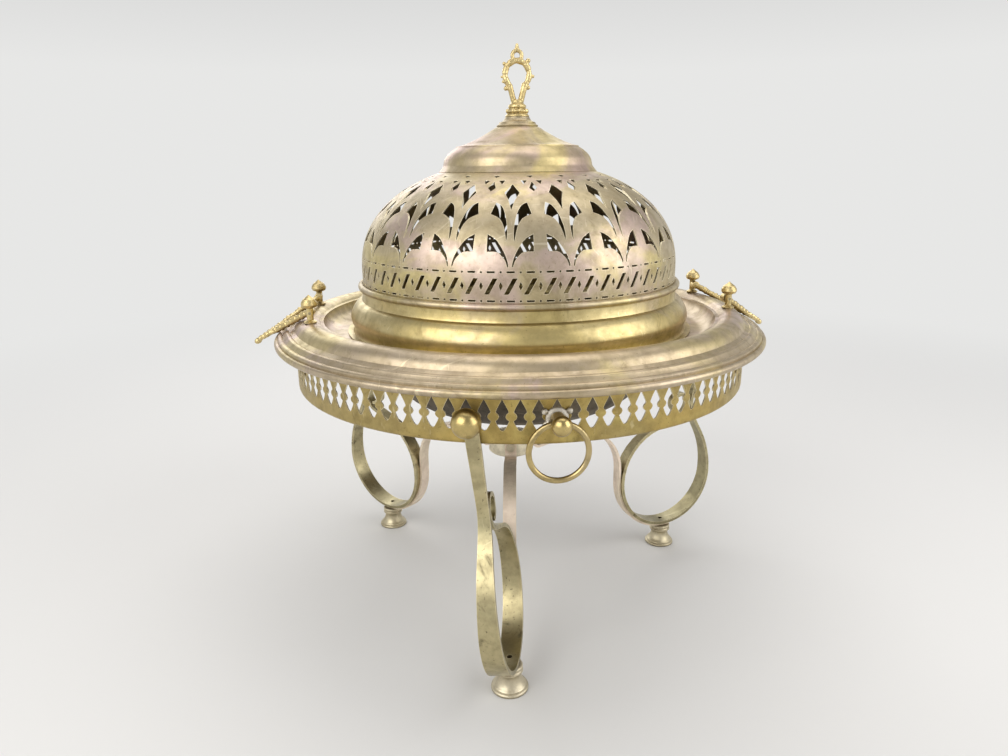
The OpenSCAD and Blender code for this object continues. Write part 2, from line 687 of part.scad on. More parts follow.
// A handle before it is turned down about its pivot, which is at the origin.
module bail() {
    arm_start = [0, arm_y];
    arm_end = [handle_reach - palm_l, palm_w / 2 - arm_r + 0.6];
    arm_v = arm_end - arm_start;
    arm_l = norm(arm_v);
    difference() {
        union() {
            for (s = [-1, 1]) {
                translate([0, s * boss_y, 0]) rotate([s * 90, 0, 0])
                    cylinder(h = boss_w, r = boss_r, $fn = 48);
                translate([0, s * arm_start.y, 0]) rotate([0, 90, s * atan2(arm_v.y, arm_v.x)]) {
                    cylinder(h = arm_l, r = arm_r, $fn = 48);
                    for (k = [0.2, 0.36, 0.52, 0.7, 0.86])
                        translate([0, 0, k * arm_l - 1]) cylinder(h = 2, r = arm_r + 0.6, $fn = 48);
                }
            }
            translate([handle_reach - palm_l - 2, 0, -palm_t / 2]) linear_extrude(palm_t) polygon([
                [-4, -3], [0, -palm_w / 2], [5, -palm_w / 2 - 1.5], [9, -palm_w / 2 + 0.5],
                [15, -palm_w / 2 + 2.2], [palm_l - 4, -4], [palm_l - 4, 4], [15, palm_w / 2 - 2.2],
                [9, palm_w / 2 - 0.5], [5, palm_w / 2 + 1.5], [0, palm_w / 2], [-4, 3],
            ]);
            translate([handle_reach - 4.6, 0, 0]) sphere(r = 4.6, $fn = 48);
        }
        translate([handle_reach - palm_l + 2, 0, -palm_t]) cylinder(h = 2 * palm_t, r = 1.6, $fn = 32);
        upright() cylinder(h = 2 * handle_span, r = pin_r + run_gap, center = true, $fn = 32);
    }
}

module handle(azimuth) {
    color("khaki") at_azimuth(azimuth) translate([post_x, 0, pivot_z]) rotate([0, handle_droop, 0]) bail();
}

// ---- Lid ----

module lid_skirt() {
    // Radii from the dome's, and heights from the lid's foot, going up the outside.
    skirt_path = concat(
        [[dome_r + 17.7, lid_z + sheet_t], [dome_r + 12.4, lid_z + sheet_t + 0.2]],
        [for (p = [
            [11.2, 3], [10.9, 5.5], [11.8, 8.5], [13.2, 11.5], [13.9, 14.5], [13.6, 18], [12, 22.5],
            [9.4, 27], [6.6, 30.2], [4.8, 31.6],
        ]) [dome_r + p.x, lid_z + p.y]],
        [[lid_neck_r + 0.9, lid_z + 32.8], [lid_neck_r, lid_z + 34.6], [lid_neck_r, neck_top_z]]
    );
    color("goldenrod") spin(strip(skirt_path, 0, sheet_t));
}

module lid_bead() {
    color("tan") rotate_extrude($fn = 180) difference() {
        translate([lid_neck_r + 0.4, neck_top_z + 1.2]) circle(r = bead_r, $fn = 32);
        square([dome_r + 0.05, 2 * neck_top_z]);
        square([lid_neck_r + 0.05, neck_top_z]);
    }
}

// Opening in the dome. Its points are [degrees from the middle, height above the dome's middle].
module dome_opening(points) {
    low = min([for (p = points) p.y]);
    high = max([for (p = points) p.y]);
    far = dome_radius(dome_mid_z + low) + 4;
    near = dome_radius(dome_mid_z + high) * 0.94 - 4;
    translate([near, 0, dome_mid_z]) rotate([90, 0, 90]) linear_extrude(far - near)
        polygon([for (p = points) [dome_radius(dome_mid_z + p.y) * sin(p.x), p.y]]);
}

function flipped(points) = [for (i = [len(points) - 1:-1:0]) [-points[i].x, points[i].y]];

module dome_openings() {
    u = unit_pitch / 2;
    sail = [
        [0.23 * u, 29], [0.22 * u, 42.8], [0.49 * u, 39.2], [0.69 * u, 33.2], [0.85 * u, 26],
        [0.93 * u, 19.5], [0.94 * u, 16.3], [0.9 * u, 16.9], [0.84 * u, 21.6], [0.72 * u, 25.6],
        [0.55 * u, 28.7],
    ];
    leaf = [
        [0.23 * u, 58.5], [0.37 * u, 67.5], [0.6 * u, 65.2], [0.76 * u, 59.6], [0.86 * u, 51],
        [0.89 * u, 43], [0.87 * u, 37.5], [0.8 * u, 44.5], [0.72 * u, 50.3], [0.55 * u, 55.3],
    ];
    kite = [[0, 61.2], [0.05 * u, 64.7], [0.14 * u, 69.5], [0.34 * u, 75.2], [0, 82]];
    diamond = [[0, 76.2], [0.2 * u, 79], [0, 84.3], [-0.2 * u, 79]];
    dart = [[0.44 * u, 81.8], [0.59 * u, 85.2], [0.23 * u, 85.2]];
    notch = [[0, 87.3], [0.2 * u, 89.2], [-0.2 * u, 89.2]];
    kite_right = [for (k = [1:3]) kite[k]];
    for (i = [0:dome_units_n - 1]) at_azimuth(units_start + i * unit_pitch) {
        for (shape = [sail, leaf, dart]) {
            dome_opening(shape);
            dome_opening(flipped(shape));
        }
        dome_opening(diamond);
        dome_opening(notch);
    }
    for (i = [0:dome_units_n - 1]) at_azimuth(units_start + (i + 0.5) * unit_pitch)
        dome_opening(concat(kite, flipped(kite_right)));
}

module band_openings() {
    pitch = 360 / band_slots_n;
    slot_w = 1.5;
    slot = [[-2.1, -6], [-2.1 + slot_w, -6], [2.1, 7.6], [2.1 - slot_w, 7.6]];
    lozenge = [[0, -2.7], [0.6, 1], [0, 4.7], [-0.6, 1]];
    for (i = [0:band_slots_n - 1]) {
        at_azimuth(slots_start + i * pitch) dome_opening(slot);
        at_azimuth(slots_start + (i + 0.5) * pitch) dome_opening(lozenge);
    }
}

module pierced_dome() {
    color("tan") difference() {
        spin(strip(dome_path, 0, sheet_t));
        dome_openings();
        band_openings();
    }
}

module dome_cap() {
    cone_foot = 24.1;
    cap_path = concat(
        [[cap_r, cap_z + sheet_t]],
        [for (p = [
            [-2, 3.2], [-3.7, 5.8], [-4.4, 9], [-5.6, 12.8], [-8.4, 16.8], [-12.4, 20.3], [-17, 23.2],
        ]) [cap_r + p.x, cap_z + p.y]],
        [for (s = [0.12:0.22:1])
            let (r = (cap_r - 17.6) * (1 - s) + (collar_r + 1.5) * s)
            [r, cap_z + cone_foot + (cap_h - cone_foot) * (0.55 * s + 0.45 * s * s)]],
        [[collar_r - 1, cap_top_z], [finial_stud_r, cap_top_z]]
    );
    color("tan") spin(strip(cap_path, 0, sheet_t));
}

module finial_collar() {
    color("khaki") spin([
        [finial_stud_r, cap_top_z], [collar_r - 0.6, cap_top_z], [collar_r, cap_top_z + 0.8],
        [collar_r, cap_top_z + 0.2 * collar_h], [0.9 * collar_r, cap_top_z + 0.35 * collar_h],
        [0.87 * collar_r, cap_top_z + 0.5 * collar_h], [0.71 * collar_r, cap_top_z + 0.65 * collar_h],
        [0.64 * collar_r, cap_top_z + 0.8 * collar_h], [0.59 * collar_r, collar_top_z],
        [finial_stud_r, collar_top_z],
    ]);
}

module finial() {
    z0 = collar_top_z;
    loop_c = [0, finial_loop_rise];
    eye_c = [0, finial_loop_rise + 1.4];
    throat_z = 14;
    spread = 34;
    bead = 2.1;
    color("gold") translate([0, 0, z0]) {
        rotate_extrude($fn = 64) polygon([
            [0, -15], [finial_stud_r, -15], [finial_stud_r, 0], [11.6, 0], [12, 1.2], [11, 2.6], [9.4, 3.2],
            [9.4, 4], [11.2, 4.6], [10.6, 6.4], [7, 7.6], [8.9, 9], [8.9, 11], [6.6, 12.8], [5.6, 14],
            [5.6, 16], [0, 16],
        ]);
        upright() linear_extrude(finial_t, center = true) difference() {
            union() {
                translate(loop_c) circle(r = finial_loop_r);
                polygon([
                    [-5.2, throat_z], [5.2, throat_z],
                    polar(loop_c, finial_loop_r, -spread), polar(loop_c, finial_loop_r, 180 + spread),
                ]);
            }
            translate(eye_c) circle(r = finial_eye_r);
            polygon([
                [0, throat_z + 4], polar(eye_c, finial_eye_r, -spread),
                eye_c, polar(eye_c, finial_eye_r, 180 + spread),
            ]);
        }
        translate([0, 0, finial_loop_rise + finial_loop_r + 2.3]) upright()
            linear_extrude(0.75 * finial_t, center = true) difference() {
                circle(r = 6.6);
                circle(r = 2.6);
            }
        for (b = [[10.1, 2.3], [11.8, 1.6]])
            translate([0, 0, finial_loop_rise + finial_loop_r + b.x]) sphere(r = b.y, $fn = 32);
        for (a = [50, 142, 178, -12, -50, 230])
            translate([(finial_loop_r + 0.6) * cos(a), 0, finial_loop_rise + (finial_loop_r + 0.6) * sin(a)])
                sphere(r = bead, $fn = 32);
    }
}

module finial_nut() {
    color("darkgoldenrod") translate([0, 0, cap_top_z - sheet_t - 4.2]) difference() {
        cylinder(h = 4, r = 2.2 * finial_stud_r, $fn = 6);
        translate([0, 0, -CUT]) cylinder(h = 8, r = finial_stud_r, $fn = 48);
    }
}

gallery_band();
gallery_edge_wire();
leg(FRONT);  // leg_front
leg(RIGHT);  // leg_right
leg(LEFT);  // leg_left
brace(FRONT);  // brace_front
brace(RIGHT);  // brace_right
brace(LEFT);  // brace_left
foot(FRONT);  // foot_front
foot(RIGHT);  // foot_right
foot(LEFT);  // foot_left
leg_knob(FRONT);  // leg_knob_front
leg_knob(RIGHT);  // leg_knob_right
leg_knob(LEFT);  // leg_knob_left
leg_knob_nuts();
hub();
hub_screws();
at_azimuth(0) rosette();  // rosette_front
at_azimuth(180) rosette();  // rosette_rear
at_azimuth(0) ring_post();  // ring_post_front
at_azimuth(180) ring_post();  // ring_post_rear
ring_post_nuts();
at_azimuth(0) drop_ring();  // drop_ring_front
at_azimuth(180) drop_ring();  // drop_ring_rear
rim_dish();
coal_bowl();
bowl_rivets();
handle_post(left_handle_azimuth, 1);  // handle_post_left_front
handle_post(left_handle_azimuth, -1);  // handle_post_left_rear
handle_post(right_handle_azimuth, -1);  // handle_post_right_front
handle_post(right_handle_azimuth, 1);  // handle_post_right_rear
handle_post_nuts();
handle_pins(left_handle_azimuth);  // handle_pins_left
handle_pins(right_handle_azimuth);  // handle_pins_right
handle(left_handle_azimuth);  // handle_left
handle(right_handle_azimuth);  // handle_right
lid_skirt();
lid_bead();
pierced_dome();
dome_cap();
finial_collar();
finial();
finial_nut();
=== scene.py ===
# Looks of a brass charcoal brazier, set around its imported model. Metres, +Z up, floor at z = 0.
# The front drop ring hangs at -Y, and azimuths are degrees from there towards +X.
import math

import bpy
from mathutils import Matrix, Vector


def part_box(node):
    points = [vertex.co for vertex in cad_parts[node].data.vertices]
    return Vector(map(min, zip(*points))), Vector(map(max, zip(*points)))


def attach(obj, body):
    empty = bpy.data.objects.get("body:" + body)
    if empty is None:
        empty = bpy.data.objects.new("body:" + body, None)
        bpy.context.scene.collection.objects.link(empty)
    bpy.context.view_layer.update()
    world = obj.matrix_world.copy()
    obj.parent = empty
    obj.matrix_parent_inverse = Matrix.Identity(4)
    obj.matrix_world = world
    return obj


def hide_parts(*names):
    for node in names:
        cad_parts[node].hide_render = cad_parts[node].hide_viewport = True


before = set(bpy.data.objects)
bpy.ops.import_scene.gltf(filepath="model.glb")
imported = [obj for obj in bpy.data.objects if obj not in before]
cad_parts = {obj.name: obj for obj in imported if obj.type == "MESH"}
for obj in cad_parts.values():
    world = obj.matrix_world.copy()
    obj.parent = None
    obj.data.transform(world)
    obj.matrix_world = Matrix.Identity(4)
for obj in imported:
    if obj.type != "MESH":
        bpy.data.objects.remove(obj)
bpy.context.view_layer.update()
bpy.ops.object.select_all(action="DESELECT")

# ---- Camera, light and floor ----
# The camera stands where the photograph was taken, a little left of the front and above the rim.
# A pale floor and sky surround the brazier, and four large soft panels light it.
CAMERA_PLACE = (-0.097309, -0.750433, 0.447143)
PITCH, YAW, ROLL = math.radians(16.0005), math.radians(6.1794), math.radians(0.6313)
SKY_PALE = (0.80, 0.80, 0.79, 1)
SKY_HIGH = (0.36, 0.36, 0.37, 1)
FLOOR_COLOUR = (0.70, 0.695, 0.68, 1)

camera_data = bpy.data.cameras.new("camera")
camera_data.sensor_width = 36
camera_data.lens = 25.761
camera_data.clip_start = 0.01
camera = bpy.data.objects.new("camera", camera_data)
bpy.context.scene.collection.objects.link(camera)
camera.matrix_world = (
    Matrix.Translation(CAMERA_PLACE)
    @ Matrix.Rotation(-YAW, 4, "Z")
    @ Matrix.Rotation(math.pi / 2 - PITCH, 4, "X")
    @ Matrix.Rotation(-ROLL, 4, "Z")
)
bpy.context.scene.camera = camera
bpy.context.scene.view_settings.view_transform = "Standard"

world = bpy.data.worlds.new("studio")
bpy.context.scene.world = world
world.use_nodes = True
sky_nodes, sky_links = world.node_tree.nodes, world.node_tree.links
sky_place = sky_nodes.new("ShaderNodeTexCoord")
sky_split = sky_nodes.new("ShaderNodeSeparateXYZ")
sky_ramp = sky_nodes.new("ShaderNodeValToRGB")
sky_ramp.color_ramp.elements[0].position = 0.12
sky_ramp.color_ramp.elements[0].color = SKY_PALE
sky_ramp.color_ramp.elements[1].position = 0.55
sky_ramp.color_ramp.elements[1].color = SKY_HIGH
sky_links.new(sky_place.outputs["Generated"], sky_split.inputs[0])
sky_links.new(sky_split.outputs["Z"], sky_ramp.inputs[0])
sky_links.new(sky_ramp.outputs[0], sky_nodes["Background"].inputs["Color"])
sky_nodes["Background"].inputs["Strength"].default_value = 1.0


def light_panel(name, place, aim, size, power, colour):
    data = bpy.data.lights.new(name, "AREA")
    data.shape = "RECTANGLE"
    data.size, data.size_y = size
    data.energy = power
    data.color = colour
    panel = bpy.data.objects.new(name, data)
    bpy.context.scene.collection.objects.link(panel)
    panel.location = place
    panel.rotation_euler = (Vector(aim) - Vector(place)).to_track_quat("-Z", "Y").to_euler()


light_panel("panel_left", (-1.35, -1.2, 1.4), (0, 0, 0.32), (1.9, 1.5), 26, (1, 0.985, 0.955))
light_panel("panel_right", (1.5, -0.8, 1.1), (0, 0, 0.32), (1.4, 1.5), 17, (1, 0.99, 0.98))
light_panel("panel_top", (0.1, 0.3, 1.8), (0, 0, 0.3), (1.6, 1.3), 11, (1, 0.975, 0.96))
light_panel("panel_back", (-0.3, 1.7, 1.1), (0, 0, 0.35), (2.0, 0.9), 12, (1, 1, 1))

bpy.ops.mesh.primitive_circle_add(vertices=96, radius=6, fill_type="NGON", location=(0, 0, 0))
floor = bpy.context.object
floor.name = "floor"
floor_finish = bpy.data.materials.new("floor_paper")
floor_finish.use_nodes = True
paper_nodes, paper_links = floor_finish.node_tree.nodes, floor_finish.node_tree.links
paper_nodes["Principled BSDF"].inputs["Base Color"].default_value = FLOOR_COLOUR
paper_nodes["Principled BSDF"].inputs["Roughness"].default_value = 0.9
far_away = paper_nodes.new("ShaderNodeEmission")
far_away.inputs["Color"].default_value = SKY_PALE
distance = paper_nodes.new("ShaderNodeVectorMath")
distance.operation = "LENGTH"
fade = paper_nodes.new("ShaderNodeMapRange")
fade.interpolation_type = "SMOOTHSTEP"
fade.inputs["From Min"].default_value = 0.45
fade.inputs["From Max"].default_value = 1.9
blend_out = paper_nodes.new("ShaderNodeMixShader")
paper_links.new(paper_nodes.new("ShaderNodeTexCoord").outputs["Object"], distance.inputs[0])
paper_links.new(distance.outputs["Value"], fade.inputs["Value"])
paper_links.new(fade.outputs[0], blend_out.inputs[0])
paper_links.new(paper_nodes["Principled BSDF"].outputs[0], blend_out.inputs[1])
paper_links.new(far_away.outputs[0], blend_out.inputs[2])
paper_links.new(blend_out.outputs[0], paper_nodes["Material Output"].inputs["Surface"])
floor.data.materials.append(floor_finish)

# ---- Gallery ----
# A spun band of yellow sheet brass, pierced with a row of baluster openings and rolled over a wire
# along its upper edge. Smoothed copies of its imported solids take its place, with bright cut walls.


def brass(name, colour, second, tarnish_and_shade, bright, roughness, lines=0.0, grain=0.0, shade_and_grime=0.35, wear=0.5,
          spots=0.3, edge=0.0009, waves=0.25, sheen_tints=(), metallic=1.0, sunk=None):
    """Old brass: two tones in clouds, tarnished spots, painted shade and dirt in hollows, fine scratches and
    rubbed edges.
    lines is the depth of the turning marks about the Z axis, grain that of a casting's rough skin.
    The sheen tints are colours of painted sheen, pinkish and yellowish, that lie on it in patches. sunk is
    the height in metres under which it darkens towards the floor."""
    finish = bpy.data.materials.new(name)
    finish.use_nodes = True
    nodes, links = finish.node_tree.nodes, finish.node_tree.links
    shader = nodes["Principled BSDF"]
    shader.inputs["Metallic"].default_value = metallic
    place = nodes.new("ShaderNodeTexCoord").outputs["Object"]

    def feed(node, socket, value):
        if isinstance(value, bpy.types.NodeSocket):
            links.new(value, node.inputs[socket])
        else:
            node.inputs[socket].default_value = value

    def noise(vector, scale, detail=4.0, rough=0.55, warp=0.0):
        node = nodes.new("ShaderNodeTexNoise")
        feed(node, "Vector", vector)
        feed(node, "Scale", scale)
        feed(node, "Detail", detail)
        feed(node, "Roughness", rough)
        feed(node, "Distortion", warp)
        return node.outputs[0]

    def ramp(value, low, high, to_low=0.0, to_high=1.0):
        node = nodes.new("ShaderNodeMapRange")
        node.interpolation_type = "SMOOTHSTEP"
        feed(node, "Value", value)
        feed(node, "From Min", low)
        feed(node, "From Max", high)
        feed(node, "To Min", to_low)
        feed(node, "To Max", to_high)
        return node.outputs[0]

    def sums(kind, first, other):
        node = nodes.new("ShaderNodeMath")
        node.operation = kind
        feed(node, 0, first)
        feed(node, 1, other)
        return node.outputs[0]

    def mix(share, first, other):
        node = nodes.new("ShaderNodeMix")
        node.data_type = "RGBA"
        feed(node, 0, share)
        feed(node, 6, first)
        feed(node, 7, other)
        return node.outputs[2]

    def stretched(turn, scale, move=(0, 0, 0)):
        node = nodes.new("ShaderNodeMapping")
        links.new(place, node.inputs["Vector"])
        node.inputs["Location"].default_value = move
        node.inputs["Rotation"].default_value = turn
        node.inputs["Scale"].default_value = scale
        return node.outputs[0]

    clouds = ramp(noise(place, 9.0, 4.0, 0.6, 0.6), 0.40, 0.62)
    mottle = ramp(noise(place, 70.0, 6.0, 0.65), 0.35, 0.70)
    stains = ramp(noise(place, 24.0, 8.0, 0.7, 1.3), 0.56, 0.70, 0.0, spots)
    pits = ramp(noise(place, 420.0, 2.0, 0.5), 0.66, 0.74, 0.0, spots)
    scratch_a = ramp(noise(stretched((0.3, 0.2, 0.7), (14, 520, 60)), 1.0, 2.0), 0.66, 0.70)
    scratch_b = ramp(noise(stretched((0.1, 0.5, -0.5), (600, 12, 80)), 1.0, 2.0), 0.67, 0.71)
    scratches = sums("MULTIPLY", sums("MAXIMUM", scratch_a, scratch_b), clouds)

    tone = mix(clouds, colour, second)
    # Painted sheen: pinkish and yellowish tints laid over the tone in cloudy patches.
    for number, sheen_tint in enumerate(sheen_tints):
        drifted = stretched((0, 0, 0.8 * number), (1, 1, 1.5), (0.37 * (number + 1), 0.2, 0.11))
        tone = mix(ramp(noise(drifted, 8.0, 5.0, 0.6, 0.9), 0.50, 0.63, 0.0, 0.85), tone, sheen_tint)
    if sunk:
        level = nodes.new("ShaderNodeSeparateXYZ")
        links.new(place, level.inputs[0])
        uneven = sums("ADD", level.outputs[2], sums("MULTIPLY", noise(place, 30.0, 5.0, 0.65, 0.8), 0.05))
        tone = mix(ramp(uneven, sunk, sunk + 0.05, 0.3, 0.0), tone, tarnish_and_shade)
    tone = mix(sums("MULTIPLY", mottle, 0.35), tone, tarnish_and_shade)
    tone = mix(stains, tone, tarnish_and_shade)
    tone = mix(pits, tone, tarnish_and_shade)
    tone = mix(sums("MULTIPLY", scratches, 0.3), tone, bright)
    gloss = sums("ADD", sums("MULTIPLY", mottle, 0.10), roughness)
    gloss = sums("ADD", gloss, sums("MULTIPLY", stains, 0.25))
    # Painted shade, with some dirt: ambient occlusion darkens the hollows, creases and gaps between parts
    # towards the dark tarnished colour.
    if shade_and_grime:
        hollow = nodes.new("ShaderNodeAmbientOcclusion")
        hollow.samples = 4
        hollow.inputs["Distance"].default_value = 0.009
        shade = ramp(hollow.outputs["AO"], 0.35, 0.85, shade_and_grime, 0.0)
        tone = mix(shade, tone, tarnish_and_shade)
        gloss = sums("ADD", gloss, sums("MULTIPLY", shade, 0.3))
    if wear:
        soft = nodes.new("ShaderNodeBevel")
        soft.samples = 4
        soft.inputs["Radius"].default_value = edge
        facing = nodes.new("ShaderNodeVectorMath")
        facing.operation = "DOT_PRODUCT"
        links.new(soft.outputs["Normal"], facing.inputs[0])
        links.new(nodes.new("ShaderNodeNewGeometry").outputs["Normal"], facing.inputs[1])
        rubbed = ramp(facing.outputs["Value"], 0.80, 0.985, wear, 0.0)
        tone = mix(rubbed, tone, bright)
        gloss = sums("ADD", gloss, sums("MULTIPLY", rubbed, 0.15))
    links.new(tone, shader.inputs["Base Color"])
    links.new(gloss, shader.inputs["Roughness"])

    height = sums("MULTIPLY", noise(place, 16.0, 2.0), waves)
    if lines:
        split = nodes.new("ShaderNodeSeparateXYZ")
        links.new(place, split.inputs[0])
        x, y, z = split.outputs
        radius = sums("SQRT", sums("ADD", sums("MULTIPLY", x, x), sums("MULTIPLY", y, y)), 0.0)
        angle = sums("ARCTAN2", y, x)
        around = nodes.new("ShaderNodeCombineXYZ")
        feed(around, 0, sums("MULTIPLY", radius, 700.0))
        feed(around, 1, sums("MULTIPLY", angle, 1.6))
        feed(around, 2, sums("MULTIPLY", z, 700.0))
        turning = noise(around.outputs[0], 1.0, 3.0, 0.7)
        height = sums("ADD", height, sums("MULTIPLY", turning, lines * 0.02))
        links.new(sums("ADD", gloss, sums("MULTIPLY", turning, 0.06)), shader.inputs["Roughness"])
    if grain:
        skin = noise(place, 900.0, 4.0, 0.65)
        lumps = noise(place, 260.0, 3.0, 0.5)
        height = sums("ADD", height, sums("MULTIPLY", sums("ADD", skin, lumps), grain * 0.05))
    height = sums("ADD", height, sums("MULTIPLY", scratches, -0.006))
    bump = nodes.new("ShaderNodeBump")
    bump.inputs["Strength"].default_value = 0.8
    bump.inputs["Distance"].default_value = 0.004
    links.new(height, bump.inputs["Height"])
    links.new(bump.outputs["Normal"], shader.inputs["Normal"])
    return finish


def finish_mesh(piece, name, finish, angle=35):
    """Put the piece's place into its mesh, round its shading and give it its finish."""
    bpy.ops.object.select_all(action="DESELECT")
    piece.select_set(True)
    bpy.context.view_layer.objects.active = piece
    bpy.ops.object.transform_apply(location=True, rotation=True, scale=True)
    bpy.ops.object.shade_smooth_by_angle(angle=math.radians(angle))
    piece.name = piece.data.name = name
    piece.data.materials.clear()
    piece.data.materials.append(finish)
    bpy.ops.object.select_all(action="DESELECT")
    return piece


def smoothed(node, name, finish, body, angle=35):
    """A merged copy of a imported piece, shaded smooth over its bends, that stands in its place."""
    piece = bpy.data.objects.new(name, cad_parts[node].data.copy())
    bpy.context.scene.collection.objects.link(piece)
    bpy.ops.object.select_all(action="DESELECT")
    piece.select_set(True)
    bpy.context.view_layer.objects.active = piece
    bpy.ops.mesh.customdata_custom_splitnormals_clear()
    bpy.ops.object.mode_set(mode="EDIT")
    bpy.ops.mesh.select_all(action="SELECT")
    bpy.ops.mesh.remove_doubles(threshold=0.000002)
    bpy.ops.mesh.normals_make_consistent(inside=False)
    bpy.ops.object.mode_set(mode="OBJECT")
    finish_mesh(piece, name, finish, angle)
    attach(piece, body)
    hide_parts(node)
    return piece


# Dark tarnished colour, also used for the painted shade in hollows.
TARNISH_AND_SHADE = (0.10, 0.072, 0.030, 1)
BRIGHT = (0.86, 0.76, 0.50, 1)
gallery_finish = brass("gallery_brass", (0.50, 0.37, 0.125, 1), (0.46, 0.36, 0.15, 1), TARNISH_AND_SHADE, BRIGHT, 0.40,
                       lines=0.5, spots=0.45, wear=0.8, sheen_tints=((0.58, 0.47, 0.17, 1),))
cut_finish = brass("cut_brass", (0.90, 0.82, 0.60, 1), (0.84, 0.76, 0.55, 1), (0.42, 0.33, 0.18, 1), BRIGHT,
                   0.50, spots=0.2, wear=0.0, shade_and_grime=0.0, metallic=0.75)
gallery = smoothed("gallery_band", "pierced_gallery", gallery_finish, "stand", 20)
gallery.data.materials.append(cut_finish)
for face in gallery.data.polygons:
    outward = Vector((face.center.x, face.center.y, 0)).normalized()
    if abs(face.normal.dot(outward)) < 0.5 and 0.25 < face.center.z < 0.28:
        face.material_index = 1
smoothed("gallery_edge_wire", "rolled_edge", gallery_finish, "stand", 60)

# ---- Legs, braces and hub ----
# Three flat straps bent into scrolls, three braces bent from thinner strap, and a turned hub that
# the braces are screwed to. The braces' pale reddish colour and the hub's pale colour are painted light,
# raised to stand in for the light the pale floor throws up under the pan. The straps darken near the floor.
leg_finish = brass("strap_brass", (0.52, 0.45, 0.26, 1), (0.44, 0.39, 0.23, 1), (0.07, 0.055, 0.028, 1),
                   BRIGHT, 0.33, spots=0.75, wear=0.85, waves=0.5, sheen_tints=((0.62, 0.55, 0.33, 1),),
                   sunk=0.045)
# Painted light: the brace and hub colours are lifted to stand in for light from the pale floor under the
# pan.
brace_finish = brass("brace_brass", (0.93, 0.80, 0.67, 1), (0.88, 0.78, 0.63, 1), (0.46, 0.36, 0.25, 1),
                     BRIGHT, 0.58, spots=0.25, wear=0.7, grain=0.15, metallic=0.65)
hub_finish = brass("hub_brass", (0.80, 0.73, 0.56, 1), (0.75, 0.65, 0.48, 1), TARNISH_AND_SHADE, BRIGHT,
                   0.46, spots=0.3, wear=0.7)
for side_name in ("front", "right", "left"):
    smoothed("leg_" + side_name, "scrolled_leg_" + side_name, leg_finish, "stand")
    smoothed("brace_" + side_name, "bent_brace_" + side_name, brace_finish, "stand")
smoothed("hub", "turned_hub", hub_finish, "stand")


def dress(finish, *names):
    for name in names:
        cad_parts[name].data.materials.clear()
        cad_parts[name].data.materials.append(finish)


dress(hub_finish, "hub_screws")

# ---- Feet ----
# Turned feet with a flared base, a waist and a ringed collar, each riveted up through its strap.
# They are cast, and were only roughly cleaned up: paler than the straps, with a grainy skin.
FOOT_SIDE = [
    (16.0, 0.0), (16.7, 0.5), (16.8, 1.6), (16.6, 2.5), (15.6, 3.1), (15.0, 3.4), (15.3, 4.1),
    (14.9, 4.9), (13.6, 5.7), (12.4, 7.2), (11.2, 9.4), (10.3, 11.8), (9.9, 14.2), (10.2, 16.4),
    (11.4, 17.6), (12.1, 18.4), (12.0, 19.6), (10.9, 20.2), (10.6, 20.8), (11.4, 21.5), (11.9, 22.4),
    (11.8, 23.8), (11.2, 24.7), (9.0, 25.0),
]


def turned(side, centre, sides=72):
    """A solid turned piece: a disc drawn up ring by ring, in mm from its centre, and closed on top."""
    bpy.ops.object.select_all(action="DESELECT")
    radius, low = side[0]
    bpy.ops.mesh.primitive_circle_add(vertices=sides, radius=radius / 1000, fill_type="NGON",
                                      location=(centre[0], centre[1], centre[2] + low / 1000))
    piece = bpy.context.object
    bpy.ops.object.mode_set(mode="EDIT")
    for (r_a, z_a), (r_b, z_b) in zip(side, side[1:]):
        bpy.ops.mesh.extrude_region_move(TRANSFORM_OT_translate={"value": (0, 0, (z_b - z_a) / 1000)})
        at = (centre[0], centre[1], centre[2] + z_b / 1000)
        bpy.ops.transform.resize(value=(r_b / r_a, r_b / r_a, 1), center_override=at)
    bpy.ops.mesh.select_all(action="SELECT")
    bpy.ops.mesh.normals_make_consistent(inside=False)
    bpy.ops.object.mode_set(mode="OBJECT")
    return piece


foot_finish = brass("foot_brass", (0.68, 0.61, 0.45, 1), (0.62, 0.55, 0.38, 1), (0.17, 0.13, 0.075, 1),
                    (0.88, 0.82, 0.66, 1), 0.44, grain=0.8, spots=0.3, wear=0.6, shade_and_grime=0.6)
for side_name in ("front", "right", "left"):
    low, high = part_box("foot_" + side_name)
    foot = turned(FOOT_SIDE, ((low.x + high.x) / 2, (low.y + high.y) / 2, 0))
    finish_mesh(foot, "turned_foot_" + side_name, foot_finish, 50)
    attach(foot, "stand")
    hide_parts("foot_" + side_name)

# ---- Leg knobs, rosettes, ring posts and drop rings ----
# Smooth turned balls hold the straps and the drop rings to the gallery. The two rosettes behind the
# rings are cast, whitish and lobed.
knob_finish = brass("knob_brass", (0.58, 0.45, 0.19, 1), (0.54, 0.42, 0.20, 1), TARNISH_AND_SHADE, BRIGHT,
                    0.27, spots=0.2, wear=0.3, waves=0.1)
ring_finish = brass("ring_brass", (0.55, 0.43, 0.20, 1), (0.50, 0.40, 0.22, 1), TARNISH_AND_SHADE, BRIGHT,
                    0.28, spots=0.35, wear=0.3, waves=0.2)
nut_finish = brass("nut_brass", (0.46, 0.38, 0.22, 1), (0.40, 0.33, 0.20, 1), TARNISH_AND_SHADE, BRIGHT,
                   0.42, wear=0.6)
dress(knob_finish, "leg_knob_front", "leg_knob_right", "leg_knob_left", "ring_post_front", "ring_post_rear")
dress(ring_finish, "drop_ring_front", "drop_ring_rear")
dress(nut_finish, "leg_knob_nuts", "ring_post_nuts", "handle_post_nuts", "finial_nut", "bowl_rivets")
rosette_finish = brass("rosette_brass", (0.80, 0.76, 0.67, 1), (0.74, 0.70, 0.60, 1), (0.22, 0.18, 0.13, 1),
                       (0.93, 0.90, 0.82, 1), 0.42, grain=0.8, shade_and_grime=0.7, wear=0.6, spots=0.2, metallic=0.85)


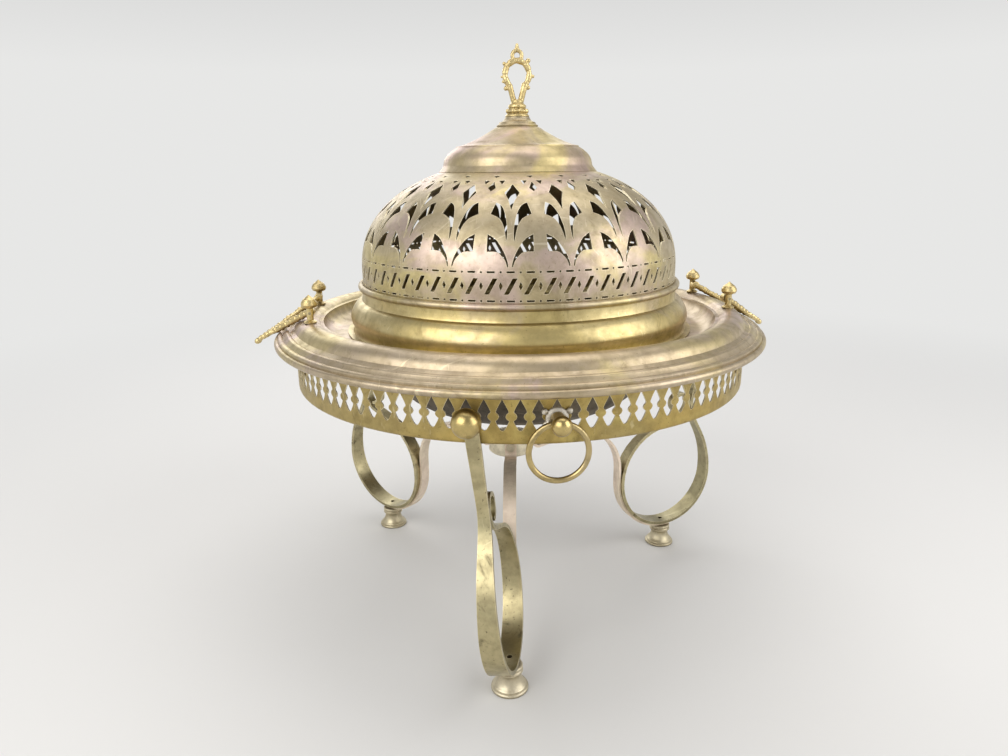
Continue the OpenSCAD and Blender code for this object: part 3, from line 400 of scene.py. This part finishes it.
def joined(pieces):
    bpy.ops.object.select_all(action="DESELECT")
    for piece in pieces:
        piece.select_set(True)
    bpy.context.view_layer.objects.active = pieces[0]
    bpy.ops.object.join()
    return bpy.context.object


def ball(place, radius, stretch=(1, 1, 1)):
    bpy.ops.mesh.primitive_uv_sphere_add(segments=24, ring_count=14, radius=radius, location=place)
    bpy.context.object.scale = stretch
    return bpy.context.object


def rod(start, end, r_start, r_end):
    start, end = Vector(start), Vector(end)
    way = end - start
    turn = way.to_track_quat("Z", "Y").to_euler()
    bpy.ops.mesh.primitive_cone_add(vertices=20, radius1=r_start, radius2=r_end, depth=way.length,
                                    location=(start + end) / 2, rotation=turn)
    return bpy.context.object


def cast(pieces, cell, smooth, lump, seed_size):
    """Run the joined pieces together as one casting, soften it and roughen its skin, all in metres."""
    piece = joined(pieces)
    bpy.ops.object.transform_apply(location=True, rotation=True, scale=True)
    skin = piece.modifiers.new("skin", "REMESH")
    skin.mode = "VOXEL"
    skin.voxel_size = cell
    soften = piece.modifiers.new("soften", "SMOOTH")
    soften.factor = 0.5
    soften.iterations = smooth
    clouds = bpy.data.textures.new("casting_skin", "CLOUDS")
    clouds.noise_scale = seed_size
    rough = piece.modifiers.new("rough", "DISPLACE")
    rough.texture = clouds
    rough.texture_coords = "LOCAL"
    rough.strength = lump
    rough.mid_level = 0.5
    for name in ("skin", "soften", "rough"):
        bpy.ops.object.modifier_apply(modifier=name)
    return piece


ROSETTE_BACK, ROSETTE_Z = 0.2296, 0.2635
LUG_REACH, LEAF_ROOT, LEAF_MIDDLE, LEAF_TIP = 0.0113, 0.0070, 0.0100, 0.0132


def on_rosette(degrees, reach):
    """The point on the rosette's face at a reach from its middle."""
    a = math.radians(degrees)
    return (reach * math.cos(a), -ROSETTE_BACK - 0.0016, ROSETTE_Z + reach * math.sin(a))


for side_name, azimuth in (("front", 0), ("rear", 180)):
    pieces = [
        rod((0, -ROSETTE_BACK, ROSETTE_Z), (0, -ROSETTE_BACK - 0.0021, ROSETTE_Z), 0.0094, 0.0090),
        ball(on_rosette(0, 0), 0.0088, (1, 0.26, 1)),
    ]
    for degrees in (30, 150):
        pieces.append(ball(on_rosette(degrees, LUG_REACH), 0.0026, (1, 0.8, 1)))
    for degrees in (-28, 208):
        pieces.append(rod(on_rosette(degrees, LEAF_ROOT), on_rosette(degrees, LEAF_TIP), 0.0030, 0.0010))
        pieces.append(ball(on_rosette(degrees, LEAF_MIDDLE), 0.0024, (1, 0.8, 1)))
    rosette = cast(pieces, 0.0005, 2, 0.0003, 0.0014)
    rosette.data.transform(Matrix.Rotation(math.radians(azimuth), 4, "Z"))
    finish_mesh(rosette, "cast_rosette_" + side_name, rosette_finish, 60)
    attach(rosette, "stand")
    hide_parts("rosette_" + side_name)

# ---- Pan ----
# The wide rim and the well that the lid stands in are one spun sheet, stepped at the edge and closed
# with a bead. A deep bowl for the coals is riveted under its mouth. Worn smooth, greyed, turning marks.


def arc(centre, radius, start, end, step=5):
    count = max(2, int(abs(end - start) / step))
    angles = [math.radians(start + (end - start) * i / count) for i in range(count + 1)]
    return [(centre[0] + radius * math.cos(a), centre[1] + radius * math.sin(a)) for a in angles]


def spun(path, wall, sides=192):
    """Sheet spun about the Z axis: path is its face in [radius, height] mm, and the wall, in mm, lies
    to the left of it, or to the right where it is negative."""
    path = [p for i, p in enumerate(path) if i == 0 or math.dist(p, path[i - 1]) > 0.02]
    back = []
    for i, (r, z) in enumerate(path):
        (ra, za), (rb, zb) = path[max(i - 1, 0)], path[min(i + 1, len(path) - 1)]
        size = math.dist((ra, za), (rb, zb))
        back.append((r - wall * (zb - za) / size, z + wall * (rb - ra) / size))
    ring = path + back[::-1] + path[:1]
    bpy.ops.object.select_all(action="DESELECT")
    bpy.ops.mesh.primitive_circle_add(vertices=sides, radius=ring[0][0] / 1000,
                                      location=(0, 0, ring[0][1] / 1000))
    piece = bpy.context.object
    bpy.ops.object.mode_set(mode="EDIT")
    for (r_a, z_a), (r_b, z_b) in zip(ring, ring[1:]):
        bpy.ops.mesh.extrude_region_move(TRANSFORM_OT_translate={"value": (0, 0, (z_b - z_a) / 1000)})
        bpy.ops.transform.resize(value=(r_b / r_a, r_b / r_a, 1), center_override=(0, 0, z_b / 1000))
    bpy.ops.mesh.select_all(action="SELECT")
    bpy.ops.mesh.remove_doubles(threshold=0.000005)
    bpy.ops.mesh.normals_make_consistent(inside=False)
    bpy.ops.object.mode_set(mode="OBJECT")
    return piece


WELL_Z = 291
SHEET = 1.2
ROLL_CENTRE = (215.5, 295.5)
LIP_CENTRE = (246.6, 287.4)
rim_side = (
    [(152, WELL_Z), (168, WELL_Z)]
    + arc((184.5, WELL_Z + 17), 17, -90, -10)
    + arc(ROLL_CENTRE, 15, 138, 18)
    + arc((235.5, 294.8), 3.6, 120, 25, 12)
    + arc((243.2, 291.0), 3.6, 120, 35, 12)
    + [(246.0, 290.5), (247.2, 288.8)]
)
rim_finish = brass("rim_brass", (0.54, 0.44, 0.29, 1), (0.52, 0.43, 0.31, 1), (0.15, 0.11, 0.05, 1), BRIGHT,
                   0.35, lines=1.0, spots=0.4, wear=0.35, waves=0.35,
                   sheen_tints=((0.59, 0.46, 0.41, 1), (0.60, 0.50, 0.26, 1)))
rim_sheet = spun(rim_side, -SHEET)
bpy.ops.mesh.primitive_torus_add(major_radius=LIP_CENTRE[0] / 1000, minor_radius=0.0034, major_segments=192,
                                 minor_segments=24, location=(0, 0, LIP_CENTRE[1] / 1000))
rim_bead = bpy.context.object
rim = finish_mesh(joined([rim_sheet, rim_bead]), "spun_rim", rim_finish, 32)
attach(rim, "pan")
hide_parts("rim_dish")

bowl_finish = brass("bowl_brass", (0.20, 0.165, 0.115, 1), (0.13, 0.11, 0.085, 1), (0.03, 0.026, 0.02, 1),
                    (0.42, 0.34, 0.22, 1), 0.55, lines=0.6, spots=0.6, wear=0.3)
bowl_side = [(166, 289.8), (154, 289.8)] + arc((154, 284.8), 5, 90, 180, 12) + [
    (75 + 74 * math.cos(math.radians(a)), 284 - 76 * math.sin(math.radians(a))) for a in range(4, 91, 4)
] + [(75, 208), (50, 208), (20, 208), (0.4, 208)]
bowl = finish_mesh(spun(bowl_side, SHEET), "spun_bowl", bowl_finish, 32)
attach(bowl, "pan")
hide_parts("coal_bowl")

# ---- Bail handles ----
# A cast bail swings on two posts at each side of the rim. Its arms are ringed like bamboo and end in
# a leaf of small scales with a hole at its root. The posts carry acorn knobs. Bright, grainy castings.
cast_finish = brass("cast_gold", (0.74, 0.60, 0.31, 1), (0.70, 0.56, 0.27, 1), (0.20, 0.135, 0.045, 1),
                    (0.92, 0.84, 0.58, 1), 0.34, grain=1.0, spots=0.25, shade_and_grime=0.75, wear=0.5)
dress(cast_finish, "handle_post_left_front", "handle_post_left_rear", "handle_post_right_front",
      "handle_post_right_rear")
dress(nut_finish, "handle_pins_left", "handle_pins_right")


HANDLE_DROOP = math.radians(31.2)
PIVOT_RADIUS, PIVOT_Z = 0.209378, 0.3199
BOSS_Y, ARM_Y, HANDLE_REACH = 0.0475, 0.0416, 0.073
SCALE_ROWS = ((0.047, 0.0072), (0.0515, 0.0086), (0.056, 0.0074), (0.0605, 0.0052), (0.0648, 0.003))
for side_name, azimuth in (("left", -87.5), ("right", 90.0)):
    pieces = []
    for s in (-1, 1):
        pieces.append(rod((0, s * BOSS_Y, 0), (0, s * (BOSS_Y - 0.0088), 0), 0.0041, 0.0041))
        start, end = Vector((0, s * ARM_Y, 0)), Vector((0.0495, s * 0.0064, 0))
        pieces.append(rod(start, end, 0.0031, 0.0027))
        for k in (0.13, 0.24, 0.36, 0.49, 0.62, 0.76, 0.9):
            at = start.lerp(end, k)
            way = (end - start).normalized()
            pieces.append(rod(at - way * 0.0008, at + way * 0.0008, 0.0036, 0.0034))
        for k in (0.19, 0.43, 0.69):
            at = start.lerp(end, k)
            pieces.append(ball(at + Vector((0, 0, 0.0025)), 0.0016))
    for row, (x, half) in enumerate(SCALE_ROWS):
        count = max(2, int(half * 2 / 0.0034))
        for i in range(count):
            y = -half + 2 * half * i / (count - 1)
            if row == 0 and abs(y) < 0.003:
                continue
            pieces.append(ball((x, y, 0.0008), 0.0026, (1.15, 0.8, 0.95)))
    pieces.append(ball((0.0555, 0, 0), 0.0085, (1.25, 0.95, 0.27)))
    pieces.append(ball((HANDLE_REACH - 0.0042, 0, 0), 0.0036, (1.15, 0.85, 0.85)))
    for s in (-1, 1):
        pieces.append(rod((0.044, s * 0.0075, 0), (0.051, s * 0.0092, 0), 0.0025, 0.0018))
    bail = cast(pieces, 0.00055, 2, 0.00035, 0.0016)
    bail.data.transform(
        Matrix.Rotation(math.radians(azimuth - 90), 4, "Z")
        @ Matrix.Translation((PIVOT_RADIUS, 0, PIVOT_Z))
        @ Matrix.Rotation(HANDLE_DROOP, 4, "Y")
    )
    finish_mesh(bail, "cast_bail_" + side_name, cast_finish, 60)
    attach(bail, side_name + "_handle")
    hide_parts("handle_" + side_name)

# ---- Lid: skirt and bead ----
# The lid's foot is a spun skirt with a swelling between two necks, more golden than the rest, and a
# half-round bead covers the seam where the dome stands in it.
skirt_finish = brass("skirt_brass", (0.62, 0.50, 0.22, 1), (0.60, 0.50, 0.26, 1), (0.17, 0.125, 0.045, 1),
                     BRIGHT, 0.30, lines=0.9, spots=0.4, wear=0.3, waves=0.3,
                     sheen_tints=((0.58, 0.47, 0.30, 1),))
skirt_points = [
    (177.7, 292.5), (172.4, 292.7), (171.2, 294.3), (170.9, 296.8), (171.8, 299.8), (173.2, 302.8),
    (173.9, 305.8), (173.6, 309.3), (172.0, 313.8), (169.4, 318.3), (166.6, 321.5), (164.8, 322.9),
    (162.15, 324.1), (161.25, 325.9), (161.25, 336.0),
]


def rounded(points, parts=4):
    """Points of a smooth curve through the given ones."""
    out = []
    for i in range(len(points) - 1):
        last = len(points) - 1
        p0, p1, p2, p3 = points[max(i - 1, 0)], points[i], points[i + 1], points[min(i + 2, last)]
        for k in range(parts):
            t = k / parts
            out.append(tuple(
                0.5 * (2 * b + (c - a) * t + (2 * a - 5 * b + 4 * c - d) * t * t
                       + (3 * b - a - 3 * c + d) * t ** 3)
                for a, b, c, d in zip(p0, p1, p2, p3)
            ))
    return out + [points[-1]]


skirt_side = [skirt_points[0]] + rounded(skirt_points[1:12]) + skirt_points[12:]
skirt = finish_mesh(spun(skirt_side, SHEET), "spun_skirt", skirt_finish, 38)
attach(skirt, "lid")
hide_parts("lid_skirt")

dome_finish = brass("dome_brass", (0.55, 0.46, 0.28, 1), (0.52, 0.44, 0.30, 1), (0.15, 0.11, 0.05, 1),
                    (0.92, 0.85, 0.64, 1), 0.37, lines=0.7, spots=0.35, wear=0.9, waves=0.5,
                    sheen_tints=((0.60, 0.47, 0.41, 1), (0.64, 0.54, 0.26, 1)))
dress(dome_finish, "lid_bead")

# ---- Lid: pierced dome ----
# A raised dome of sheet brass, sawn through with rows of leaf shapes round nineteen arches, and with
# a band of slanted slots, lozenges, dashes and dots. Its cut edges are bright.
DOME_R, DOME_MID, DOME_H, DOME_POWER = 160.0, 354.0, 103.0, 2.18
DOME_TOP_R = 75.5
UNITS, SLOTS = 19, 60
UNITS_START, SLOTS_START = -0.3, 2.4
HALF_UNIT = 180 / UNITS


def dome_radius(rise):
    if rise <= 0:
        return DOME_R
    return DOME_R * (1 - (rise / DOME_H) ** DOME_POWER) ** (1 / DOME_POWER)


dome_side = [(DOME_R, DOME_MID - z) for z in (25, 18, 12, 6)]
rises = [DOME_H * math.sin(math.radians(a)) for a in range(0, 65, 2)]
dome_side += [(dome_radius(rise), DOME_MID + rise) for rise in rises]
last = DOME_H * (1 - (DOME_TOP_R / DOME_R) ** DOME_POWER) ** (1 / DOME_POWER)
dome_side = [p for p in dome_side if p[1] < DOME_MID + last - 0.3] + [(DOME_TOP_R, DOME_MID + last)]
dome = spun(dome_side, SHEET, 228)


def cutter(points):
    """A block that saws one opening. Its points are degrees from the middle and mm above the widest part."""
    low, high = min(p[1] for p in points), max(p[1] for p in points)
    far, near = dome_radius(low) + 4, dome_radius(high) * 0.94 - 4
    bpy.ops.object.select_all(action="DESELECT")
    bpy.ops.mesh.primitive_circle_add(vertices=len(points), radius=0.01, fill_type="NGON",
                                      rotation=(0, math.pi / 2, 0))
    block = bpy.context.object
    bpy.ops.object.transform_apply(location=True, rotation=True, scale=True)
    for corner, (degrees, rise) in zip(block.data.vertices, points):
        side = dome_radius(rise) * math.sin(math.radians(degrees))
        corner.co = (near / 1000, side / 1000, (DOME_MID + rise) / 1000)
    bpy.ops.object.mode_set(mode="EDIT")
    bpy.ops.mesh.select_all(action="SELECT")
    bpy.ops.mesh.extrude_region_move(TRANSFORM_OT_translate={"value": ((far - near) / 1000, 0, 0)})
    bpy.ops.mesh.select_all(action="SELECT")
    bpy.ops.mesh.normals_make_consistent(inside=False)
    bpy.ops.object.mode_set(mode="OBJECT")
    return block


def repeated(block, count, start):
    """Copies of a cutter all round the dome, the first at the azimuth start."""
    copies = []
    for i in range(count):
        copy = block.copy()
        copy.data = block.data.copy()
        copy.data.transform(Matrix.Rotation(math.radians(start + i * 360 / count - 90), 4, "Z"))
        bpy.context.scene.collection.objects.link(copy)
        copies.append(copy)
    bpy.data.objects.remove(block)
    return copies


def mirrored(points):
    return [(-a, z) for a, z in reversed(points)]


u = HALF_UNIT
sail = (
    [(0.23 * u, 29)]
    + rounded([(0.22 * u, 42.8), (0.49 * u, 39.2), (0.69 * u, 33.2), (0.85 * u, 26), (0.93 * u, 19.5),
              (0.94 * u, 16.3)], 3)
    + rounded([(0.9 * u, 16.9), (0.84 * u, 21.6), (0.72 * u, 25.6), (0.55 * u, 28.7),
               (0.23 * u, 29)], 3)[:-1]
)
leaf = (
    [(0.23 * u, 58.5)]
    + rounded([(0.37 * u, 67.5), (0.6 * u, 65.2), (0.76 * u, 59.6), (0.86 * u, 51), (0.89 * u, 43),
              (0.87 * u, 37.5)], 3)
    + rounded([(0.855 * u, 37.6), (0.8 * u, 44.5), (0.72 * u, 50.3), (0.55 * u, 55.3),
               (0.23 * u, 58.5)], 3)[:-1]
)
kite_right = rounded([(0, 61.2), (0.05 * u, 64.7), (0.14 * u, 69.5), (0.34 * u, 75.2)], 2)
kite = kite_right + [(0, 82)] + mirrored(kite_right[1:])
diamond = [(0, 76.2), (0.2 * u, 79), (0, 84.3), (-0.2 * u, 79)]
dart = [(0.44 * u, 81.8), (0.59 * u, 85.2), (0.23 * u, 85.2)]
notch = [(0, 87.3), (0.2 * u, 89.2), (-0.2 * u, 89.2)]
slot = [(-2.1, -6), (-0.6, -6), (2.1, 7.6), (0.6, 7.6)]
lozenge = [(0, -2.7), (0.62, 1), (0, 4.7), (-0.62, 1)]
blocks = []
for shape in (sail, mirrored(sail), leaf, mirrored(leaf), dart, mirrored(dart), diamond, notch):
    blocks += repeated(cutter(shape), UNITS, UNITS_START)
blocks += repeated(cutter(kite), UNITS, UNITS_START + HALF_UNIT)
blocks += repeated(cutter(slot), SLOTS, SLOTS_START)
blocks += repeated(cutter(lozenge), SLOTS, SLOTS_START + 3)
for row_z in (12.6, -11.6):
    dash = [(-1.2, row_z - 0.85), (1.2, row_z - 0.85), (1.25, row_z + 0.85), (-1.25, row_z + 0.85)]
    corners = [math.radians(k * 45 + 22.5) for k in range(8)]
    dot = [(0.36 * math.cos(a), row_z + math.sin(a)) for a in corners]
    blocks += repeated(cutter(dash), SLOTS, SLOTS_START)
    blocks += repeated(cutter(dot), SLOTS, SLOTS_START + 3)
saw = joined(blocks)
cut = dome.modifiers.new("sawn", "BOOLEAN")
cut.operation = "DIFFERENCE"
cut.solver = "MANIFOLD"
cut.object = saw
bpy.ops.object.select_all(action="DESELECT")
bpy.context.view_layer.objects.active = dome
bpy.ops.object.modifier_apply(modifier="sawn")
bpy.data.objects.remove(saw)
finish_mesh(dome, "sawn_dome", dome_finish, 30)
dome.data.materials.append(cut_finish)
for face in dome.data.polygons:
    rise = max(face.center.z * 1000 - DOME_MID, 0) / DOME_H
    level = Vector((face.center.x, face.center.y, 0))
    outward = Vector((level.x, level.y, 0)).normalized() * (level.length * 1000 / DOME_R) ** (DOME_POWER - 1)
    outward.z = rise ** (DOME_POWER - 1) * DOME_R / DOME_H
    if abs(face.normal.dot(outward.normalized())) < 0.62 and -14 < face.center.z * 1000 - DOME_MID < 91:
        face.material_index = 1
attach(dome, "lid")
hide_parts("pierced_dome")

# ---- Lid: cap and collar ----
# A spun cap with a rounded shoulder, a thin raised line and a long hollow cone covers the top of the
# dome. The finial's collar is a turned ring of three steps.
CAP_R, CAP_H, CONE_FOOT = 78.5, 42.3, 24.1
CAP_Z = DOME_MID + DOME_H * (1 - (CAP_R / DOME_R) ** DOME_POWER) ** (1 / DOME_POWER)
CAP_TOP = CAP_Z + CAP_H
shoulder = rounded([(CAP_R + r, CAP_Z + z) for r, z in (
    (0.6, 0.15), (-1.6, 2.9), (-3.7, 5.8), (-4.4, 9), (-5.6, 12.8), (-8.4, 16.8), (-12.4, 20.3),
    (-17, 23.2))], 4)
line = [(61.3, CAP_Z + 23.4), (61.1, CAP_Z + 24.3), (60.2, CAP_Z + 24.6)]
cone = [
    (60.9 * (1 - s) + 22 * s, CAP_Z + CONE_FOOT + (CAP_H - CONE_FOOT) * (0.55 * s + 0.45 * s * s))
    for s in [k / 12 for k in range(1, 13)]
]
cap_side = shoulder + line + cone + [(19.5, CAP_TOP), (2.5, CAP_TOP)]
cap_finish = brass("cap_brass", (0.51, 0.42, 0.26, 1), (0.49, 0.41, 0.28, 1), (0.15, 0.11, 0.05, 1), BRIGHT,
                   0.39, lines=0.9, spots=0.3, wear=0.35, waves=0.45,
                   sheen_tints=((0.62, 0.47, 0.42, 1), (0.66, 0.55, 0.26, 1)))
cap = finish_mesh(spun(cap_side, SHEET), "spun_cap", cap_finish, 38)
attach(cap, "lid")
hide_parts("dome_cap")

collar_side = [(3, 0), (19.9, 0), (20.5, 0.8), (20.5, 1.9), (19.4, 2.6), (18.5, 3.3), (18.3, 4.0),
               (17.9, 4.7), (16.0, 5.3), (14.5, 6.2), (13.6, 6.9), (13.1, 7.6), (12.4, 8.6), (12.1, 9.5),
               (3, 9.5)]
collar = turned(collar_side, (0, 0, CAP_TOP / 1000))
collar = finish_mesh(collar, "turned_collar", cap_finish, 40)
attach(collar, "lid")
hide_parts("finial_collar")

# ---- Finial ----
# A cast loop of two thorny stems on a ringed foot, with a small ring and a bead on top. It is screwed
# down through the cap. Pale gold and grainy.
FOOT_Z = CAP_TOP / 1000 + 0.0095
finial_foot = [(2.4, -1.0), (11.5, 0), (12, 1.2), (11.2, 2.4), (9.4, 3.1), (9.3, 3.8), (11.2, 4.6),
               (10.9, 6.2), (7.6, 7.6), (8.4, 8.4), (8.9, 9.4), (8.6, 11.2), (6.6, 12.6), (5.9, 13.6),
               (5.6, 15.6), (4.0, 16.4)]
pieces = [turned(finial_foot, (0, 0, FOOT_Z), 48)]
for i in range(8):
    a = math.radians(i * 45 + 12)
    pieces.append(ball((0.0098 * math.cos(a), 0.0098 * math.sin(a), FOOT_Z + 0.0056), 0.0022))
LOOP_Z, LOOP_R = FOOT_Z + 0.0393, 0.01185
stem = []
for k in range(25):
    a = math.radians(-52 + k * (284 / 24))
    stem.append((LOOP_R * math.cos(a), LOOP_Z + LOOP_R * 1.06 * math.sin(a)))
STEM_FOOT_X, STEM_FOOT_Z = 0.0034, FOOT_Z + 0.0145
stem = [(STEM_FOOT_X, STEM_FOOT_Z)] + stem + [(-STEM_FOOT_X, STEM_FOOT_Z)]
for k in range(len(stem) - 1):
    (xa, za), (xb, zb) = stem[k], stem[k + 1]
    thick = 0.0027 + 0.00035 * math.cos(k * 1.7)
    pieces.append(rod((xa, 0, za), (xb, 0, zb), thick, thick))
    pieces.append(ball((xb, 0, zb), thick * 1.04))
THORNS = ((48, 0.0163, 0.0023), (143, 0.0157, 0.0018), (-6, 0.0157, 0.0016), (188, 0.0153, 0.0012),
          (-47, 0.0158, 0.0021), (228, 0.0166, 0.0022), (205, 0.0153, 0.0013))
for degrees, reach, size in THORNS:
    a = math.radians(degrees)
    pieces.append(ball((reach * math.cos(a), 0, LOOP_Z + reach * 1.03 * math.sin(a)), size))
    pieces.append(rod((LOOP_R * math.cos(a), 0, LOOP_Z + LOOP_R * math.sin(a)),
                      (reach * math.cos(a), 0, LOOP_Z + reach * 1.03 * math.sin(a)), size * 0.8, size * 0.6))
bpy.ops.mesh.primitive_torus_add(major_radius=0.0046, minor_radius=0.0019, major_segments=40,
                                 minor_segments=16, location=(0, 0, LOOP_Z + 0.0170),
                                 rotation=(math.pi / 2, 0, 0))
pieces.append(bpy.context.object)
pieces.append(ball((0, 0, LOOP_Z + 0.0240), 0.0021))
pieces.append(ball((0, 0, LOOP_Z + 0.0264), 0.0016))
pieces.append(rod((0, 0, LOOP_Z + 0.0215), (0, 0, LOOP_Z + 0.0262), 0.0016, 0.001))
finial = cast(pieces, 0.0005, 2, 0.0003, 0.0014)
finish_mesh(finial, "cast_finial", cast_finish, 60)
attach(finial, "lid")
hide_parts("finial")
